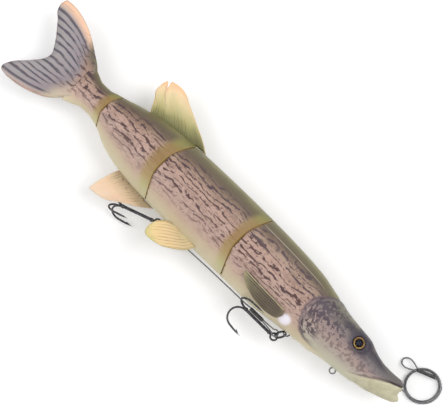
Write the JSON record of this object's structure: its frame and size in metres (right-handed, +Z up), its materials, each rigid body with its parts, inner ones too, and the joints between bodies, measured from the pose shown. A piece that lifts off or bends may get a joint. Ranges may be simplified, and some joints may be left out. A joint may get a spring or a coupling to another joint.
{
  "type": "jointed fishing swimbait",
  "caption": "Long jointed fish-shaped fishing swimbait lying on its side, with a forked tail fin, treble hooks on a stinger wire and a coiled wire leader at the mouth.",
  "frame": {"origin": "on the floor under the middle of the bait without its leader, half way from the snout to the tail fin's tips", "axes": "+X from the tail to the snout, +Y from the belly to the back, +Z up through the right flank, because the bait lies on its left flank"},
  "size_m": [0.3191, 0.0818, 0.031],
  "materials": {
    "body_skin": "satin, patterned scales",
    "soft_fin": "soft translucent rays",
    "pectoral_fin": "soft translucent rays",
    "iris_foil": "foil",
    "eye_resin": "clear gloss",
    "bright_steel": "satin",
    "leader_steel": "satin",
    "sleeve_black": "satin",
    "black_nickel": "black nickel",
    "ballast_metal": "dull",
    "tube_plastic": "plain"
  },
  "bodies": {
    "front_body": {"front_segment": "body_skin", "pectoral_fin_right": "pectoral_fin", "pectoral_fin_left": "pectoral_fin", "eye_disc_right": "iris_foil", "eye_disc_left": "iris_foil", "eye_dome_right": "eye_resin", "eye_dome_left": "eye_resin", "chin_eyelet": "bright_steel", "line_tube": "tube_plastic", "front_hinge_eyes": "bright_steel", "front_ballast": "ballast_metal", "leader_core": "leader_steel", "leader_wire": "leader_steel", "leader_coil": "leader_steel", "leader_loop": "leader_steel", "leader_sleeve": "sleeve_black", "stinger_wire": "leader_steel", "front_crimp": "sleeve_black"},
    "mid_body": {"mid_segment": "body_skin", "front_hinge_pin": "bright_steel", "middle_hinge_eyes": "bright_steel", "middle_ballast": "ballast_metal", "pelvic_fin_right": "soft_fin", "pelvic_fin_left": "soft_fin", "rear_crimp": "sleeve_black"},
    "rear_body": {"rear_segment": "body_skin", "middle_hinge_pin": "bright_steel", "tail_hinge_eyes": "bright_steel", "dorsal_fin": "soft_fin", "anal_fin": "soft_fin"},
    "tail_body": {"tail_segment": "body_skin", "tail_hinge_pin": "bright_steel", "tail_fin": "soft_fin", "tail_fin_pin": "bright_steel"},
    "ring_body": {"split_ring": "black_nickel"},
    "front_treble_body": {"front_treble": "black_nickel"},
    "rear_treble_body": {"rear_treble": "black_nickel"}
  },
  "joints": [
    {"name": "front_joint", "type": "hinge", "parent": "front_body", "child": "mid_body", "pos_m": [0.00619, 0.001, 0.0155], "axis": [0, 1, 0], "range_deg": [-20, 20], "deforming": ["stinger_wire"]},
    {"name": "middle_joint", "type": "hinge", "parent": "mid_body", "child": "rear_body", "pos_m": [-0.05363, 0.001, 0.0155], "axis": [0, 1, 0], "range_deg": [-10, 10], "deforming": ["stinger_wire"]},
    {"name": "tail_joint", "type": "hinge", "parent": "rear_body", "child": "tail_body", "pos_m": [-0.09491, 0.001, 0.0155], "axis": [0, 1, 0], "range_deg": [-25, 25]},
    {"name": "ring_swing", "type": "hinge", "parent": "front_body", "child": "ring_body", "pos_m": [0.0766, -0.01794, 0.0155], "axis": [0, 0, 1], "range_deg": [0, 10], "deforming": ["stinger_wire"]},
    {"name": "front_treble_swing", "type": "hinge", "parent": "ring_body", "child": "front_treble_body", "pos_m": [0.0727, -0.02488, 0.0155], "axis": [0, 0, 1], "range_deg": [0, 80]},
    {"name": "rear_treble_swing", "type": "hinge", "parent": "rear_body", "child": "rear_treble_body", "pos_m": [-0.022, -0.02495, 0.015], "axis": [0, 0, 1], "range_deg": [0, 70], "deforming": ["stinger_wire"]}
  ]
}
